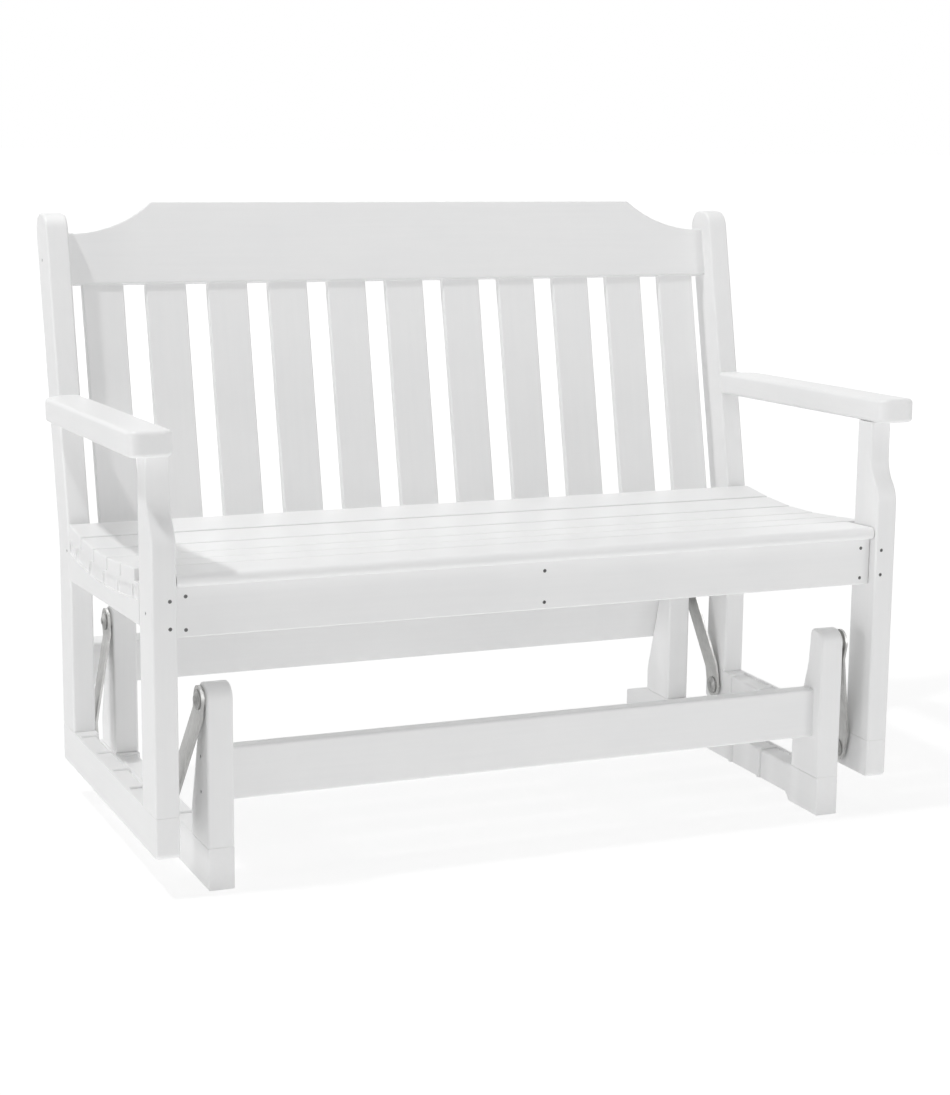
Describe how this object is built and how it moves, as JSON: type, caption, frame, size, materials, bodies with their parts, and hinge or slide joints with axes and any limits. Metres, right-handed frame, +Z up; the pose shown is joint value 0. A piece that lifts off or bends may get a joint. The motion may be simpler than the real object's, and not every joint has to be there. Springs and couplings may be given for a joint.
{
  "type": "porch glider",
  "caption": "Slatted bench glider with a reclined slat back, shaped crest rail and flat armrests, hung by pivoting steel arms from a low floor base so that the seat swings front to back.",
  "frame": {"origin": "on the floor, at the middle of the overall box", "axes": "+X to the sitter's left (right in a front view), +Y towards the back, +Z up"},
  "size_m": [1.336, 0.768, 1.0038],
  "materials": {
    "poly_lumber": "white satin moulded plastic lumber, fine even grain",
    "steel": "brushed",
    "screw_steel": "satin"
  },
  "bodies": {
    "base": {"base_front_post_left": "poly_lumber", "base_front_post_right": "poly_lumber", "base_front_stretcher": "poly_lumber", "base_pivot_bolts": "steel", "base_pivot_washers": "steel", "base_rear_post_left": "poly_lumber", "base_rear_post_right": "poly_lumber", "base_rear_stretcher": "poly_lumber", "base_runner_left": "poly_lumber", "base_runner_right": "poly_lumber", "base_screws": "screw_steel"},
    "arm_front_left": {"hanger_arm_front_left": "steel"},
    "arm_front_right": {"hanger_arm_front_right": "steel"},
    "arm_rear_left": {"hanger_arm_rear_left": "steel"},
    "arm_rear_right": {"hanger_arm_rear_right": "steel"},
    "seat": {"apron_screws": "screw_steel", "armrest_left": "poly_lumber", "armrest_right": "poly_lumber", "back_slat_1": "poly_lumber", "back_slat_10": "poly_lumber", "back_slat_11": "poly_lumber", "back_slat_2": "poly_lumber", "back_slat_3": "poly_lumber", "back_slat_4": "poly_lumber", "back_slat_5": "poly_lumber", "back_slat_6": "poly_lumber", "back_slat_7": "poly_lumber", "back_slat_8": "poly_lumber", "back_slat_9": "poly_lumber", "crest_rail": "poly_lumber", "front_apron": "poly_lumber", "front_leg_left": "poly_lumber", "front_leg_right": "poly_lumber", "leg_front_screws": "screw_steel", "leg_side_screws": "screw_steel", "lower_back_rail": "poly_lumber", "rear_leg_left": "poly_lumber", "rear_leg_right": "poly_lumber", "seat_bottom_rail_left": "poly_lumber", "seat_bottom_rail_right": "poly_lumber", "seat_center_support": "poly_lumber", "seat_corner_block_left": "poly_lumber", "seat_corner_block_right": "poly_lumber", "seat_pivot_bolts": "steel", "seat_pivot_washers": "steel", "seat_side_rail_left": "poly_lumber", "seat_side_rail_right": "poly_lumber", "seat_slat_1": "poly_lumber", "seat_slat_2": "poly_lumber", "seat_slat_3": "poly_lumber", "seat_slat_4": "poly_lumber", "seat_slat_5": "poly_lumber", "seat_slat_6": "poly_lumber"}
  },
  "joints": [
    {"name": "front_left_swing", "type": "hinge", "parent": "base", "child": "arm_front_left", "pos_m": [-0.5594, -0.34781, 0.298], "axis": [1, 0, 0], "range_deg": [-12, 12]},
    {"name": "front_right_swing", "type": "hinge", "parent": "base", "child": "arm_front_right", "pos_m": [0.5594, -0.34781, 0.298], "axis": [1, 0, 0], "range_deg": [-12, 12]},
    {"name": "rear_left_swing", "type": "hinge", "parent": "base", "child": "arm_rear_left", "pos_m": [-0.5594, 0.22519, 0.298], "axis": [1, 0, 0], "range_deg": [-12, 12]},
    {"name": "rear_right_swing", "type": "hinge", "parent": "base", "child": "arm_rear_right", "pos_m": [0.5594, 0.22519, 0.298], "axis": [1, 0, 0], "range_deg": [-12, 12]},
    {"name": "seat_glide", "type": "hinge", "parent": "arm_front_left", "child": "seat", "pos_m": [-0.5941, -0.29781, 0.0955], "axis": [1, 0, 0], "range_deg": [-14.6, 14.6]}
  ],
  "couplings": [
    {"joint": "front_right_swing", "follows": "front_left_swing", "ratio": 1},
    {"joint": "rear_left_swing", "follows": "front_left_swing", "ratio": 1},
    {"joint": "rear_right_swing", "follows": "front_left_swing", "ratio": 1},
    {"joint": "seat_glide", "follows": "front_left_swing", "ratio": -1.2088}
  ]
}
